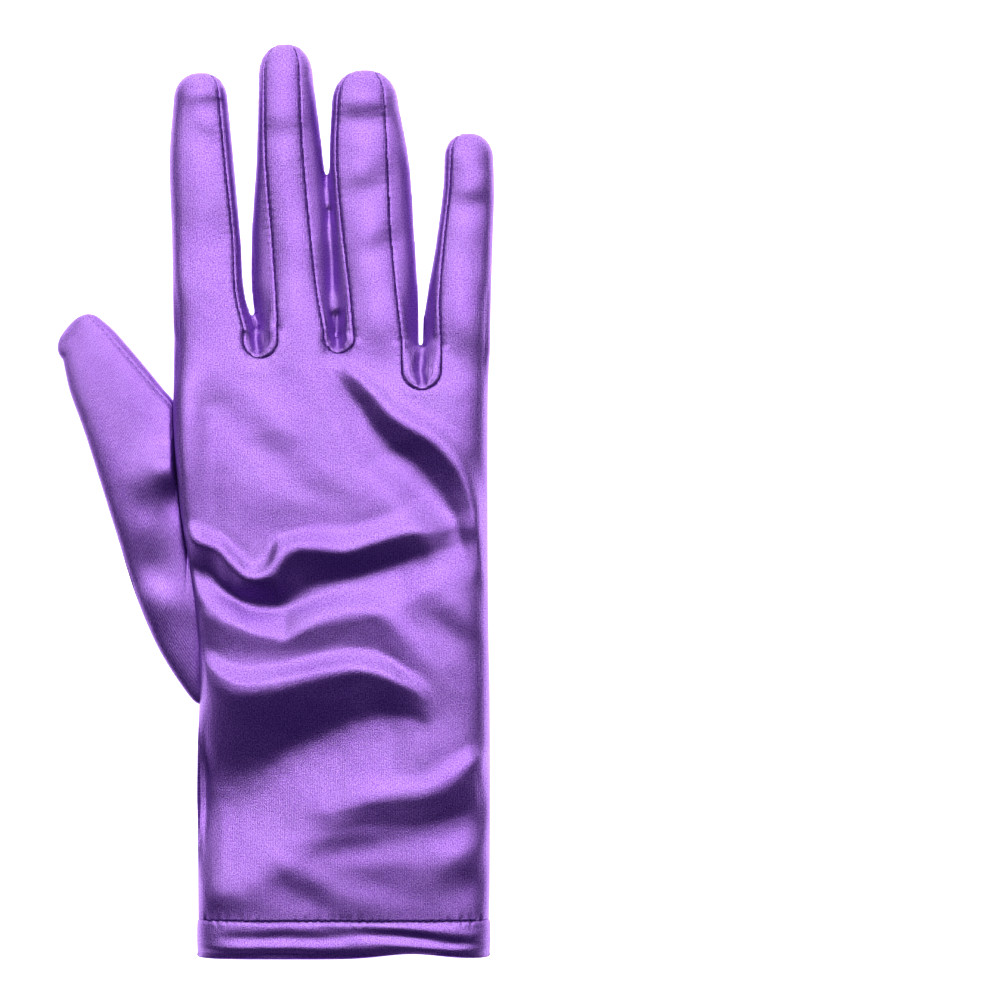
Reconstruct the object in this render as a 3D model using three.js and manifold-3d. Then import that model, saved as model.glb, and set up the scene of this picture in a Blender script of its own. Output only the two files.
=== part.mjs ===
// A wrist-length dress glove of stretch satin for the right hand, laid palm down on a table.
// Millimetres. +Y runs from the cuff to the fingertips, +X towards the little finger, +Z up.
// The origin is the middle of the glove's footprint, at table height.
//
// The cloth is a closed wall round an open hollow. An outer form (palm, four fingers, thumb) is
// lofted through sections, the same form drawn in by the cloth's wall is taken out of it, and the
// wall is cut along the seams into the sewn pieces, with a small gap at each seam.

import * as THREE from "three";
import { mergeVertices } from "three/addons/utils/BufferGeometryUtils.js";
import Module from "manifold-3d";

const wasm = await Module();
wasm.setup();

// Cloth and sewing
const clothWall = 1;
const hemWall = 1.4; // the edge is turned in, so it has two layers, pressed thin
const seamGap = 0.3; // left open between two sewn pieces
const hemDepth = 9.1; // from the cuff's edge to its stitches

// Hand
const palmLength = 158.4; // from the cuff's edge to the web beside the index finger
const palmWidth = 80.1;
const palmHeight = 11.2;
const cuffHeight = 10.8;
const edgeHeight = 3.8; // height of the side fold's outermost line
const webDrop = 6.3; // the little finger's root sits this much lower than the index finger's
const webDip = 2.4; // how far the back of the hand sinks between two fingers
const webDipWidth = 3.4;
const mouthWave = 1.8; // how far the cuff's upper edge draws back
const mouthReach = 6; // of the hollow, out past the cuff's edge

// Fingers
const indexLength = 65.2; // from the web to the tip
const middleLength = 73.5;
const ringLength = 69.2;
const littleLength = 55.3;
const fingerHeight = 9;
const fingerShoulder = 0.78; // share of that height at which the upper seams run
const fingerAxis = 0.46; // share of that height towards which a finger's two ends shrink
const rootDepth = 7; // how far a finger's form reaches down into the palm's
const rootScale = 0.88; // of that buried end, so that it stays inside the palm all round
const sideSeamHeight = 2; // of the lower seam of the side strips
const sideBulge = 0.35; // how far a side strip swells between its seams
const seamRoll = 0.5; // a side strip's edge rolls over onto the back by this much

// Thumb
const thumbLength = 73.7; // from the middle of its seam to its tip
const thumbHeight = 7.6;
const thumbLift = 3.4; // how far the thumb props up the hand's edge
const thumbTip = 4.6; // how far the rounded tip reaches past the last section
const thumbSeat = 0.585; // middle of its seam, as a share of palmLength
const thumbInlay = 1.7; // from the hand's side fold in to that middle
const thumbHoleBelow = 0.376; // the hole's ends below and above it, as shares of thumbLength
const thumbHoleAbove = 0.357;

// Roundness of sections and tips, as exponents: 2 is an ellipse for the hand's, 1 for the others
const soleSquareness = 12;
const backSquareness = 3.4;
const webSoleSquareness = 24; // near the webs the hand is flatter
const webBackSquareness = 9;
const fingerTipRoundness = 0.9;
const thumbTipRoundness = 0.8;
const thumbSideRoundness = 0.62;
const thumbSoleRoundness = 0.45;
const thumbBackRoundness = 0.8;
const tipAngles = [28, 52, 74]; // of the rings that close a rounded tip

// Faces round each section
const palmUpperFaces = 22;
const palmLowerFaces = 12;
const palmRows = 28;
const crownFaces = 4;
const fingerRows = 7;
const thumbFaces = 16;

// The hand's side edges and height along palmLength. Edges are shares of palmWidth from the middle,
// height a share of the height there and lift the share of thumbLift at the thumb's side.
const palmSections = [
  { at: 0, left: -0.424, right: 0.497, height: 1, lift: 0 },
  { at: 0.19, left: -0.426, right: 0.501, height: 1, lift: 0 },
  { at: 0.35, left: -0.426, right: 0.501, height: 1.02, lift: 0 },
  { at: 0.41, left: -0.42, right: 0.5, height: 1.02, lift: 0.05 },
  { at: 0.51, left: -0.424, right: 0.497, height: 1, lift: 0.45 },
  { at: 0.6, left: -0.443, right: 0.495, height: 1, lift: 0.85 },
  { at: 0.73, left: -0.481, right: 0.494, height: 1, lift: 1 },
  { at: 0.83, left: -0.497, right: 0.494, height: 0.98, lift: 1 },
  { at: 0.95, left: -0.5, right: 0.496, height: 0.9, lift: 0.4 },
  { at: 1, left: -0.5, right: 0.5, height: 0.8, lift: 0.1 },
];

// Fingers from the thumb side. Rows run from the web to where the tip starts to round, as shares of
// the finger's length. left and right are its sides and the seams are the edges of its back, all
// shares of palmWidth from the index finger's side. webDepth is how far below the web on its
// little-finger side the upper seam turns round.
const fingers = [
  {
    name: "index",
    length: indexLength,
    webDepth: 7.2,
    rows: [
      { at: 0, left: 0, seamLeft: 0.022, seamRight: 0.23, right: 0.255 },
      { at: 0.12, left: -0.002, seamLeft: 0.02, seamRight: 0.208, right: 0.227 },
      { at: 0.35, left: -0.006, seamLeft: 0.016, seamRight: 0.196, right: 0.211 },
      { at: 0.7, left: -0.013, seamLeft: 0.009, seamRight: 0.167, right: 0.186 },
      { at: 0.895, left: 0, seamLeft: 0.02, seamRight: 0.152, right: 0.17 },
    ],
  },
  {
    name: "middle",
    length: middleLength,
    webDepth: 3.8,
    rows: [
      { at: 0, left: 0.268, seamLeft: 0.325, seamRight: 0.484, right: 0.507 },
      { at: 0.12, left: 0.248, seamLeft: 0.319, seamRight: 0.464, right: 0.499 },
      { at: 0.32, left: 0.244, seamLeft: 0.306, seamRight: 0.442, right: 0.494 },
      { at: 0.63, left: 0.262, seamLeft: 0.284, seamRight: 0.416, right: 0.47 },
      { at: 0.89, left: 0.27, seamLeft: 0.282, seamRight: 0.405, right: 0.44 },
    ],
  },
  {
    name: "ring",
    length: ringLength,
    webDepth: 10.9,
    rows: [
      { at: 0, left: 0.521, seamLeft: 0.566, seamRight: 0.729, right: 0.774 },
      { at: 0.16, left: 0.507, seamLeft: 0.553, seamRight: 0.713, right: 0.773 },
      { at: 0.38, left: 0.502, seamLeft: 0.53, seamRight: 0.694, right: 0.762 },
      { at: 0.7, left: 0.493, seamLeft: 0.508, seamRight: 0.681, right: 0.74 },
      { at: 0.872, left: 0.5, seamLeft: 0.514, seamRight: 0.673, right: 0.711 },
    ],
  },
  {
    name: "little",
    length: littleLength,
    rows: [
      { at: 0, left: 0.788, seamLeft: 0.839, seamRight: 0.978, right: 1 },
      { at: 0.19, left: 0.794, seamLeft: 0.833, seamRight: 0.98, right: 1.002 },
      { at: 0.51, left: 0.83, seamLeft: 0.848, seamRight: 0.986, right: 1.008 },
      { at: 0.78, left: 0.853, seamLeft: 0.867, seamRight: 0.991, right: 1.013 },
      { at: 0.881, left: 0.855, seamLeft: 0.869, seamRight: 0.989, right: 1.01 },
    ],
  },
];

// Thumb sections from inside the hand to where its tip starts to round. Points of the outer and
// inner edge are shares of thumbLength from the middle of the seam; height and base, which is how
// far a section's sole is off the table, are shares of thumbHeight.
const thumbSections = [
  { outerX: 0.055, outerY: -0.37, innerX: 0.062, innerY: 0.29, height: 0.58, base: 0.18 },
  { outerX: 0.01, outerY: -0.398, innerX: 0.01, innerY: 0.384, height: 0.62, base: 0.13 },
  { outerX: -0.034, outerY: -0.367, innerX: -0.027, innerY: 0.48, height: 0.8, base: 0.05 },
  { outerX: -0.137, outerY: -0.209, innerX: -0.055, innerY: 0.569, height: 0.95, base: 0 },
  { outerX: -0.216, outerY: -0.027, innerX: -0.082, innerY: 0.638, height: 1, base: 0 },
  { outerX: -0.281, outerY: 0.178, innerX: -0.13, innerY: 0.696, height: 1, base: 0 },
  { outerX: -0.343, outerY: 0.377, innerX: -0.182, innerY: 0.761, height: 1, base: 0 },
  { outerX: -0.398, outerY: 0.549, innerX: -0.237, innerY: 0.826, height: 0.98, base: 0 },
  { outerX: -0.446, outerY: 0.682, innerX: -0.291, innerY: 0.888, height: 0.94, base: 0 },
  { outerX: -0.47, outerY: 0.79, innerX: -0.345, innerY: 0.935, height: 0.86, base: 0 },
];

// Folds in the back of the hand. Each crest runs through its points: across is a share of palmWidth
// from the middle and along a share of palmLength. rise is a share of palmHeight; above, below
// and belowEnd are the widths of its slopes as shares of palmLength, dip a furrow past the lower
// slope, and start and end the share of the rise at the crest's two ends.
const folds = [
  {
    across: [-0.424, -0.298, -0.118, 0.062, 0.185, 0.323],
    along: [0.426, 0.423, 0.44, 0.456, 0.435, 0.397],
    rise: 0.3, above: 0.04, below: 0.078, belowEnd: 0.02, dip: 0.12, start: 1, end: 0,
  },
  {
    across: [-0.449, -0.333, -0.229, -0.115, 0.055, 0.402],
    along: [0.665, 0.638, 0.604, 0.64, 0.64, 0.694],
    rise: 0.26, above: 0.045, below: 0.048, belowEnd: 0.03, dip: 0.12, start: 0.8, end: 0,
  },
  {
    across: [0.039, 0.14, 0.235, 0.317, 0.412, 0.456],
    along: [0.952, 0.9, 0.845, 0.809, 0.761, 0.713],
    rise: 0.2, above: 0.045, below: 0.03, belowEnd: 0.03, dip: 0.12, start: 0, end: 0,
  },
  {
    across: [-0.103, 0.084, 0.336, 0.481],
    along: [0.231, 0.255, 0.279, 0.322],
    rise: 0.16, above: 0.05, below: 0.03, belowEnd: 0.03, dip: 0.12, start: 0, end: 0.6,
  },
];
const furrowPlace = 1.9; // how far past the crest a furrow runs, in widths of the lower slope
const foldEnds = [0.3, 0.6]; // shares of a crest where its rise is full from, and until

// Value of a table's column at a share of the way along, on a smooth curve through its rows.
function column(table, name) {
  const places = table.map((row) => row.at);
  const values = table.map((row) => row[name]);
  const curve = new THREE.CubicInterpolant(places, values, 1);
  return (at) => curve.evaluate(at)[0];
}

const smooth = (value, from, to) => THREE.MathUtils.smoothstep(value, from, to);
const mix = THREE.MathUtils.lerp;

const palmLeft = column(palmSections, "left");
const palmRight = column(palmSections, "right");
const palmSwell = column(palmSections, "height");
const edgeLift = column(palmSections, "lift");

// Height that the thumb under the hand's edge adds to whatever lies at a point. It fades out
// inward of the hand's side and along the index finger.
function liftAt(x, y) {
  const at = Math.min(y / palmLength, 1);
  const beyond = 1 - smooth(y, palmLength, palmLength * 1.2);
  const inward = 1 - smooth(x, palmWidth * -0.48, palmWidth * -0.36);
  return thumbLift * edgeLift(at) * beyond * inward;
}

// How much lower than the index finger's web the line through the webs runs at a point. It starts
// at the index finger's middle, so far inward of the hand's middle line, and ends at its far side.
const dropStart = -0.235;
const dropAt = (x) => webDrop * THREE.MathUtils.mapLinear(
  THREE.MathUtils.clamp(x / palmWidth, dropStart, 0.5), dropStart, 0.5, 0, 1,
);

// Each crest as points close together, so that a distance to it can be taken.
const crests = folds.map(({ across, along }) =>
  new THREE.SplineCurve(
    across.map((share, i) => new THREE.Vector2(share * palmWidth, along[i] * palmLength)),
  ).getPoints(48),
);

// Height that the folds add to the back of the hand.
function foldAt(x, y) {
  const point = new THREE.Vector2(x, y);
  return folds.reduce((sum, fold, index) => {
    const crest = crests[index];
    let nearest = 0;
    crest.forEach((candidate, i) => {
      if (candidate.distanceToSquared(point) < crest[nearest].distanceToSquared(point)) nearest = i;
    });
    const along = nearest / (crest.length - 1);
    const gap = crest[nearest].distanceTo(point);
    const isAbove = y > crest[nearest].y;
    const width = palmLength * (isAbove ? fold.above : mix(fold.below, fold.belowEnd, along));
    const ends = Math.min(
      mix(fold.start, 1, smooth(along, 0, foldEnds[0])),
      mix(1, fold.end, smooth(along, foldEnds[1], 1)),
    );
    const ridge = Math.exp(-((gap / width) ** 2));
    const furrow = isAbove ? 0 : Math.exp(-(((gap - furrowPlace * width) / width) ** 2));
    return sum + palmHeight * ends * (fold.rise * ridge - fold.dip * furrow);
  }, 0);
}

// Draws a section in by a distance, along its own normals. Points run anticlockwise seen with
// x to the right and z up.
function drawIn(loop, distance) {
  return loop.map((point, i) => {
    const before = loop[(i + loop.length - 1) % loop.length];
    const after = loop[(i + 1) % loop.length];
    const normals = [[before, point], [point, after]].map(([from, to]) =>
      new THREE.Vector2(to.y - from.y, from.x - to.x).normalize(),
    );
    const middle = normals[0].clone().add(normals[1]).normalize();
    const reach = distance / Math.max(middle.dot(normals[0]), 0.5);
    return point.clone().addScaledVector(middle, -reach);
  });
}

// Triangles that close a ring. Every ring rises in x + y from its one side to its other.
function capFaces(ring) {
  const flat = ring.map((p) => new THREE.Vector2(p.x + p.y, p.z));
  return THREE.ShapeUtils.triangulateShape(flat, []);
}

// A closed solid through rings that all have the same number of points, with flat ends.
function loft(rings) {
  const size = rings[0].length;
  const faces = capFaces(rings[0]).flat();
  for (let r = 0; r + 1 < rings.length; r++) {
    for (let i = 0; i < size; i++) {
      const [a, b] = [r * size + i, r * size + ((i + 1) % size)];
      faces.push(a, b + size, b, a, a + size, b + size);
    }
  }
  const lastRing = (rings.length - 1) * size;
  capFaces(rings.at(-1)).forEach(([a, b, c]) => faces.push(lastRing + a, lastRing + c, lastRing + b));
  return new wasm.Manifold(
    new wasm.Mesh({
      numProp: 3,
      vertProperties: new Float32Array(rings.flat().flatMap((p) => p.toArray())),
      triVerts: new Uint32Array(faces),
    }),
  );
}

// A closed three.js geometry as a solid.
function solidOf(geometry) {
  geometry.deleteAttribute("normal").deleteAttribute("uv");
  const merged = mergeVertices(geometry, 1e-4);
  return new wasm.Manifold(
    new wasm.Mesh({
      numProp: 3,
      vertProperties: new Float32Array(merged.attributes.position.array),
      triVerts: new Uint32Array(merged.index.array),
    }),
  );
}

// Places across a section, from -1 to 1, closer together near the side folds.
function places(count) {
  return Array.from({ length: count + 1 }, (_, i) => {
    const even = (2 * i) / count - 1;
    return mix(even, -Math.cos((Math.PI * i) / count), 0.55);
  });
}

const joined = (solids) => solids.reduce((sum, solid) => sum.add(solid));

// Fingers

// Each finger with its columns as curves in millimetres and the height of its web.
const placedFingers = fingers.map((finger) => {
  const curveOf = (name) => {
    const share = column(finger.rows, name);
    return (at) => (share(at) - 0.5) * palmWidth;
  };
  const curves = ["left", "seamLeft", "seamRight", "right"].map((name) => [name, curveOf(name)]);
  const placed = { ...finger, ...Object.fromEntries(curves), tipAt: finger.rows.at(-1).at };
  placed.web = palmLength - dropAt((placed.left(0) + placed.right(0)) / 2);
  placed.tipReach = finger.length * (1 - placed.tipAt);
  return placed;
});

// One section of a finger: a flat sole, sloping sides up to the seams and a crowned back.
function fingerLoop(finger, at, height) {
  const [left, right] = [finger.left(at), finger.right(at)];
  const [seamLeft, seamRight] = [finger.seamLeft(at), finger.seamRight(at)];
  const shoulder = height * fingerShoulder;
  const corner = sideSeamHeight;
  const turn = (edge, outward, degrees) => {
    const angle = THREE.MathUtils.degToRad(degrees);
    const inward = corner * (1 - Math.sin(angle));
    return new THREE.Vector2(edge - outward * inward, corner * (1 - Math.cos(angle)));
  };
  const slope = (edge, seam, outward) =>
    new THREE.Vector2((edge + seam) / 2 + outward * sideBulge, (corner + shoulder) / 2 + sideBulge);
  const crown = Array.from({ length: crownFaces + 1 }, (_, i) => {
    const s = i / crownFaces;
    const rise = (height - shoulder) * (1 - (2 * s - 1) ** 2);
    return new THREE.Vector2(mix(seamRight, seamLeft, s), shoulder + rise);
  });
  return [
    turn(left, -1, 0), turn(right, 1, 0), turn(right, 1, 45), turn(right, 1, 90),
    slope(right, seamRight, 1), ...crown, slope(left, seamLeft, -1),
    turn(left, -1, 90), turn(left, -1, 45),
  ];
}

function fingerForm(finger, inset) {
  const rings = [];
  const addRing = (loop, y, scale) => {
    const middle = new THREE.Vector2((loop[0].x + loop[1].x) / 2, fingerHeight * fingerAxis);
    const scaled = loop.map((p) => p.clone().sub(middle).multiplyScalar(scale).add(middle));
    rings.push(scaled.map((p) => new THREE.Vector3(p.x, y, p.y + liftAt(p.x, y))));
  };
  const root = drawIn(fingerLoop(finger, 0, fingerHeight), inset);
  addRing(root, finger.web - rootDepth + inset, rootScale);
  for (let i = 0; i <= fingerRows; i++) {
    const at = (finger.tipAt * i) / fingerRows;
    addRing(drawIn(fingerLoop(finger, at, fingerHeight), inset), finger.web + finger.length * at, 1);
  }
  const tipLoop = drawIn(fingerLoop(finger, finger.tipAt, fingerHeight), inset);
  for (const degrees of tipAngles) {
    const angle = THREE.MathUtils.degToRad(degrees);
    const y = finger.web + finger.length * finger.tipAt + (finger.tipReach - inset) * Math.sin(angle);
    addRing(tipLoop, y, Math.cos(angle) ** fingerTipRoundness);
  }
  return loft(rings);
}

// The space between two fingers as an upright prism, bounded by their upper seams and a round
// bottom below the web. The side strip is the wall inside it, down to the lower seam.
function slotForm(leftFinger, rightFinger, inset) {
  const draw = inset - seamRoll;
  const steps = 5;
  const seam = (finger, name, outward) => {
    const line = Array.from({ length: steps + 1 }, (_, i) => {
      const at = (finger.tipAt * i) / steps;
      return new THREE.Vector2(finger[name](at) + outward * draw, finger.web + finger.length * at);
    });
    const last = line.at(-1);
    const middle = (finger.left(finger.tipAt) + finger.right(finger.tipAt)) / 2;
    const roundPoint = (degrees, extra) => {
      const angle = THREE.MathUtils.degToRad(degrees);
      const x = middle + (last.x - middle) * Math.cos(angle) ** fingerTipRoundness;
      return new THREE.Vector2(x, last.y + finger.tipReach * Math.sin(angle) + extra);
    };
    const [first, second] = tipAngles;
    return [...line, roundPoint(first, 0), roundPoint(second, 0), roundPoint(second, finger.tipReach)];
  };
  const [a, b] = [leftFinger.seamRight(0) + draw, rightFinger.seamLeft(0) - draw];
  const centre = (a + b) / 2;
  const radius = (b - a) / 2;
  const turnY = palmLength - dropAt(centre) - leftFinger.webDepth + radius + inset;
  const isClear = (p) => p.y > turnY + clothWall;
  const outline = new THREE.Shape();
  outline.moveTo(a, turnY);
  seam(leftFinger, "seamRight", 1).filter(isClear).forEach((p) => outline.lineTo(p.x, p.y));
  seam(rightFinger, "seamLeft", -1).filter(isClear).reverse().forEach((p) => outline.lineTo(p.x, p.y));
  outline.lineTo(b, turnY);
  outline.absarc(centre, turnY, radius, 0, -Math.PI, true);
  const prism = new THREE.ExtrudeGeometry(outline, {
    depth: palmHeight * 3,
    bevelEnabled: false,
    curveSegments: 10,
  });
  return solidOf(prism.translate(0, 0, sideSeamHeight + inset));
}

const pairs = placedFingers.slice(0, -1).map((finger, i) => [finger, placedFingers[i + 1]]);
const webMiddles = pairs.map(([a, b]) => (a.right(0) + b.left(0)) / 2);

// Palm

// The cuff's upper edge draws back in one long wave near the little finger's side.
const waveAt = (x) => Math.exp(-(((x - palmWidth * 0.26) / (palmWidth * 0.13)) ** 2));

// How far the back of the hand has sunk towards the webs at a point.
const dipAt = (x) =>
  webDip * webMiddles.reduce((sum, web) => sum + Math.exp(-(((x - web) / webDipWidth) ** 2)), 0);

// One section of the palm, smaller all round by an inset and moved out of the mouth.
function palmRing(y, inset, outOfMouth = 0) {
  const at = y / palmLength;
  const left = palmLeft(at) * palmWidth + inset;
  const right = palmRight(at) * palmWidth - inset;
  const height = mix(cuffHeight, palmHeight, smooth(at, 0, 0.3)) * palmSwell(at) - inset;
  const nearWeb = smooth(at, 0.75, 1);
  const atWeb = smooth(at, 0.93, 1);
  const soleShape = mix(soleSquareness, webSoleSquareness, nearWeb);
  const backShape = mix(backSquareness, webBackSquareness, nearWeb);
  const across = (place) => mix(left, right, (place + 1) / 2);
  const lower = places(palmLowerFaces).map((place) => {
    const flat = Math.sqrt(1 - Math.abs(place) ** soleShape);
    return new THREE.Vector2(across(place), mix(edgeHeight, inset, flat));
  });
  const upper = places(palmUpperFaces).map((place) => {
    const x = across(place);
    const round = Math.sqrt(1 - Math.abs(place) ** backShape);
    const fold = foldAt(x, y) * smooth(at, 0, 0.1) * (1 - atWeb);
    return new THREE.Vector2(x, mix(edgeHeight, height + fold - dipAt(x) * atWeb, round));
  });
  return [...lower.slice(0, -1), ...upper.reverse().slice(0, -1)].map((p) => {
    const isUpper = p.y > edgeHeight;
    const wave = isUpper ? mouthWave * waveAt(p.x) * (1 - smooth(y, 0, hemDepth)) : 0;
    const lift = liftAt(p.x, y);
    return new THREE.Vector3(p.x, y - dropAt(p.x) * at ** 6 + wave - outOfMouth, p.y + lift);
  });
}

// Drawn in, it is the hollow, and runs out through the mouth by mouthReach.
function palmForm(inset) {
  const end = palmLength - Math.max(inset, 0);
  const rings = Array.from({ length: palmRows + 1 }, (_, i) =>
    palmRing((end * i) / palmRows, inset),
  );
  if (inset > 0) rings.unshift(palmRing(0, inset, mouthReach));
  return loft(rings);
}

function handForm(inset) {
  return joined([palmForm(inset), ...placedFingers.map((finger) => fingerForm(finger, inset))]);
}

// Thumb

// Middle of its seam, and the ends of the hole in the hand's side.
const thumbRootX = palmLeft(thumbSeat) * palmWidth + thumbInlay;
const thumbRootY = thumbSeat * palmLength;
const thumbHoleFrom = thumbRootY - thumbHoleBelow * thumbLength;
const thumbHoleTo = thumbRootY + thumbHoleAbove * thumbLength;

// One section of the thumb, upright on the line from its outer edge to its inner edge.
function thumbRing(row, inset, scale = 1, ahead = new THREE.Vector3()) {
  const at = (x, y) =>
    new THREE.Vector3(thumbRootX + x * thumbLength, thumbRootY + y * thumbLength, 0);
  const outer = at(row.outerX, row.outerY);
  const inner = at(row.innerX, row.innerY);
  const half = outer.distanceTo(inner) / 2 - inset;
  const height = thumbHeight * row.height - 2 * inset;
  const along = inner.clone().sub(outer).normalize();
  const centre = outer.clone().add(inner).divideScalar(2).add(ahead);
  return Array.from({ length: thumbFaces }, (_, i) => {
    const angle = (2 * Math.PI * i) / thumbFaces;
    const [c, s] = [Math.cos(angle), Math.sin(angle)];
    const across = half * Math.sign(c) * Math.abs(c) ** thumbSideRoundness;
    const roundness = s < 0 ? thumbSoleRoundness : thumbBackRoundness;
    const up = (height / 2) * Math.sign(s) * Math.abs(s) ** roundness;
    const z = row.base * thumbHeight + inset + height / 2 + up * scale;
    return centre.clone().addScaledVector(along, across * scale).setZ(z);
  });
}

function thumbForm(inset) {
  const last = thumbSections.at(-1);
  const rings = thumbSections.map((row) => thumbRing(row, inset));
  const across = new THREE.Vector3(last.innerX - last.outerX, last.innerY - last.outerY, 0);
  const forward = new THREE.Vector3(-across.y, across.x, 0).normalize();
  for (const degrees of tipAngles) {
    const angle = THREE.MathUtils.degToRad(degrees);
    const ahead = forward.clone().multiplyScalar((thumbTip - inset) * Math.sin(angle));
    rings.push(thumbRing(last, inset, Math.cos(angle) ** thumbTipRoundness, ahead));
  }
  return loft(rings);
}

// Sewn pieces

// Everything between two places along the hand.
function between(from, to) {
  const box = new THREE.BoxGeometry(4 * palmWidth, to - from, 8 * palmHeight);
  return solidOf(box.translate(0, (from + to) / 2, 0));
}

const handOuter = handForm(0);
const handWall = handOuter.subtract(handForm(clothWall));
const thumbHollow = thumbForm(clothWall);
const thumbHole = thumbHollow.intersect(between(thumbHoleFrom, thumbHoleTo));
const slots = joined(pairs.map(([a, b]) => slotForm(a, b, 0)));

function trank() {
  return handWall.intersect(between(hemDepth, 3 * palmLength)).subtract(slots).subtract(thumbHole);
}

function sideStrip(leftFinger, rightFinger) {
  return handWall.intersect(slotForm(leftFinger, rightFinger, seamGap));
}

// Past the hole the thumb is a closed tube that lies half under the hand's edge.
function thumb() {
  const tucked = handForm(-seamGap - clothWall).subtract(between(thumbHoleFrom, thumbHoleTo));
  return thumbForm(0).subtract(handForm(-seamGap)).subtract(thumbHollow.subtract(tucked));
}

function cuffHem() {
  return handOuter.subtract(palmForm(hemWall)).intersect(between(-mouthReach, hemDepth - seamGap));
}

const satin = { color: 0x8b52cf, roughness: 0.38, metalness: 0.25 };

function meshOf(name, solid) {
  const { vertProperties, triVerts } = solid.getMesh();
  const geometry = new THREE.BufferGeometry()
    .setAttribute("position", new THREE.BufferAttribute(vertProperties, 3))
    .setIndex(new THREE.BufferAttribute(triVerts, 1));
  geometry.computeVertexNormals();
  const mesh = new THREE.Mesh(geometry, new THREE.MeshStandardMaterial(satin));
  mesh.name = name;
  return mesh;
}

const sewn = new THREE.Group();
sewn.add(meshOf("trank", trank()));
for (const [a, b] of pairs) {
  sewn.add(meshOf(`side_strip_${a.name}_${b.name}`, sideStrip(a, b)));
}
sewn.add(meshOf("thumb", thumb()));
sewn.add(meshOf("cuff_hem", cuffHem()));

const footprint = new THREE.Box3().setFromObject(sewn);
const middle = footprint.getCenter(new THREE.Vector3());
sewn.position.set(-middle.x, -middle.y, -footprint.min.z);

const glove = new THREE.Group();
glove.add(sewn);

export default glove;
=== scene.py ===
import math

import bmesh
import bpy
import numpy as np
from mathutils import Matrix, Vector, noise
from mathutils.bvhtree import BVHTree


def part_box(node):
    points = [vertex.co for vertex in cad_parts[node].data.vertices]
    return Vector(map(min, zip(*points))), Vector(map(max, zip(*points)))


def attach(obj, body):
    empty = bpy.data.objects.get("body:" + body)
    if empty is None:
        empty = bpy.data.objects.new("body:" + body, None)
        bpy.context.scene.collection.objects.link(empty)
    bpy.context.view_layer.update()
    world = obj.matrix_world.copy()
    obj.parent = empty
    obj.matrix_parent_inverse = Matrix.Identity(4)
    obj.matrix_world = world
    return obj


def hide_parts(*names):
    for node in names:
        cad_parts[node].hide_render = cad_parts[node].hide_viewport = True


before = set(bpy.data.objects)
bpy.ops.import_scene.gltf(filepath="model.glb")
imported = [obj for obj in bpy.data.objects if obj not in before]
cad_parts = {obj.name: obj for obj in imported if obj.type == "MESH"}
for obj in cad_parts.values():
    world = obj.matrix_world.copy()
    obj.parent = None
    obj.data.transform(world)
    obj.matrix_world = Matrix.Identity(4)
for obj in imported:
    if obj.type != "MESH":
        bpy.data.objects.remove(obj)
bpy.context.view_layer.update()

# Lengths are millimetres until a piece is finished: x from the hand's middle towards the
# little finger, y from the cuff's edge towards the fingertips, z up from the table.

hand = {
    "length": 158.4,  # to the web beside the index finger
    "width": 80.1,
    "height": 11.0,
    "cuffHeight": 10.6,
    "edgeHeight": 3.8,  # of the side fold's outermost line
    "webDrop": 6.3,
    "webDip": 2.6,
    "webDipWidth": 3.4,
    "dropStart": -0.235,
    "pastMouth": 8,  # the hand runs on this far and is cut at the hem
    "rows": 221,
    "across": 181,
    "crowding": 0.55,  # of the columns towards both edges
    "backSquareness": (7, 12),  # at the cuff and at the webs
    "soleSquareness": (12, 24),
    # at, left, right, height, lift, as shares of the sizes above
    "sections": [
        (0, -0.424, 0.497, 1, 0),
        (0.19, -0.426, 0.501, 1, 0),
        (0.35, -0.426, 0.501, 1.02, 0),
        (0.41, -0.42, 0.5, 1.02, 0.05),
        (0.51, -0.424, 0.497, 1, 0.45),
        (0.6, -0.443, 0.495, 1, 0.85),
        (0.73, -0.481, 0.494, 0.97, 1),
        (0.83, -0.497, 0.494, 0.94, 1),
        (0.95, -0.5, 0.496, 0.88, 0.4),
        (1, -0.5, 0.5, 0.85, 0.1),
    ],
}

fingerShape = {
    "height": 8.7,
    "shoulder": 0.85,
    "axis": 0.46,
    "rootDepth": 7,
    "rootScale": 0.88,
    "sideSeam": 2,
    "bulge": 0.35,
    "corner": 3.6,
    "seamRoll": 0.5,
    "rows": 90,
    "tipRows": 15,
    "across": 81,
    "tipRounding": 0.9,
    "tallness": (1.09, 0.96),  # at the web, and further out
    "tallReach": 30,
    # length, webDepth, then rows of at, left, seamLeft, seamRight, right
    "index": (65.2, 7.2, [
        (0, 0, 0.022, 0.23, 0.255),
        (0.12, -0.002, 0.02, 0.208, 0.227),
        (0.35, -0.006, 0.016, 0.196, 0.211),
        (0.7, -0.013, 0.009, 0.167, 0.186),
        (0.895, 0, 0.02, 0.152, 0.17),
    ]),
    "middle": (73.5, 3.8, [
        (0, 0.268, 0.325, 0.484, 0.507),
        (0.12, 0.248, 0.319, 0.464, 0.499),
        (0.32, 0.244, 0.306, 0.442, 0.494),
        (0.63, 0.262, 0.284, 0.416, 0.47),
        (0.89, 0.27, 0.282, 0.405, 0.44),
    ]),
    "ring": (69.2, 10.9, [
        (0, 0.521, 0.566, 0.729, 0.774),
        (0.16, 0.507, 0.553, 0.713, 0.773),
        (0.38, 0.502, 0.53, 0.694, 0.762),
        (0.7, 0.493, 0.508, 0.681, 0.74),
        (0.872, 0.5, 0.514, 0.673, 0.711),
    ]),
    "little": (55.3, 0, [
        (0, 0.788, 0.839, 0.978, 1),
        (0.19, 0.794, 0.833, 0.98, 1.002),
        (0.51, 0.83, 0.848, 0.986, 1.008),
        (0.78, 0.853, 0.867, 0.991, 1.013),
        (0.881, 0.855, 0.869, 0.989, 1.01),
    ]),
}
fingerNames = ["index", "middle", "ring", "little"]

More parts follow.
